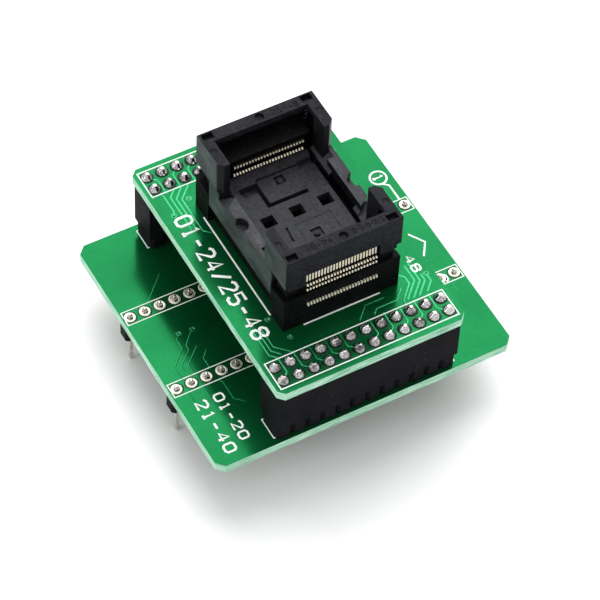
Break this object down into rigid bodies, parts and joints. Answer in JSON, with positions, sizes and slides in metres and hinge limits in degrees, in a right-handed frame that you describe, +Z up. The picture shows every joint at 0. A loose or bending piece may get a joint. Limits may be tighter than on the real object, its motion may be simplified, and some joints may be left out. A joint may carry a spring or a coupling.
{
  "type": "chip socket adapter",
  "caption": "Two stacked circuit boards with a press-down chip socket on top and two rows of plug pins underneath, for adapting a flat chip to a programmer.",
  "frame": {"origin": "under the middle of the object, level with the tips of the plug pins", "axes": "+X along the rows of plug pins; +Y towards the rear contact row; +Z up, out of the chip socket"},
  "size_m": [0.0508, 0.0478, 0.0384],
  "materials": {
    "solder_mask": "glossy green solder mask over tracks",
    "laminate_edge": "pale sawn edge of the board",
    "board_print": "white board print",
    "header_plastic": "black moulded, slightly glossy",
    "base_plastic": "black moulded",
    "socket_plastic": "dark grey moulded, fine spark-eroded texture",
    "tinned_pin": "bright tin plate",
    "solder": "shiny solder",
    "gold_contact": "gold plate",
    "spring_steel": "dark drawn wire"
  },
  "bodies": {
    "base": {"base_board": "solder_mask", "plug_strip_front": "header_plastic", "plug_pins_front": "tinned_pin", "riser_front": "header_plastic", "riser_pins_front_outer": "tinned_pin", "riser_pins_front_inner": "tinned_pin", "plug_strip_rear": "header_plastic", "plug_pins_rear": "tinned_pin", "riser_rear": "header_plastic", "riser_pins_rear_outer": "tinned_pin", "riser_pins_rear_inner": "tinned_pin"},
    "adapter": {"adapter_board": "solder_mask", "receptacle_front": "header_plastic", "fork_contacts_front_outer": "tinned_pin", "fork_contacts_front_inner": "tinned_pin", "lower_contacts_front": "gold_contact", "cover_spring_front_left": "spring_steel", "cover_spring_front_right": "spring_steel", "receptacle_rear": "header_plastic", "fork_contacts_rear_outer": "tinned_pin", "fork_contacts_rear_inner": "tinned_pin", "lower_contacts_rear": "gold_contact", "cover_spring_rear_left": "spring_steel", "cover_spring_rear_right": "spring_steel", "socket_base": "base_plastic", "chip_seat": "socket_plastic"},
    "cover": {"socket_cover": "socket_plastic"},
    "front_jaws": {"contact_jaw_front": "gold_contact"},
    "rear_jaws": {"contact_jaw_rear": "gold_contact"}
  },
  "joints": [
    {"name": "adapter_lift", "type": "slide", "parent": "base", "child": "adapter", "axis": [0, 0, 1], "range_m": [0, 0.009]},
    {"name": "cover_press", "type": "slide", "parent": "adapter", "child": "cover", "axis": [0, 0, -1], "range_m": [0, 0.002], "stiffness_N_per_m": 2500, "deforming": ["cover_spring_front_left", "cover_spring_front_right", "cover_spring_rear_left", "cover_spring_rear_right"]},
    {"name": "front_jaw_open", "type": "hinge", "parent": "adapter", "child": "front_jaws", "pos_m": [0, -0.0122, 0.0329], "axis": [1, 0, 0], "range_deg": [0, 10]},
    {"name": "rear_jaw_open", "type": "hinge", "parent": "adapter", "child": "rear_jaws", "pos_m": [0, 0.0122, 0.0329], "axis": [-1, 0, 0], "range_deg": [0, 10]}
  ],
  "couplings": [
    {"joint": "front_jaw_open", "follows": "cover_press", "rad_per_m": 87},
    {"joint": "rear_jaw_open", "follows": "cover_press", "rad_per_m": 87}
  ]
}
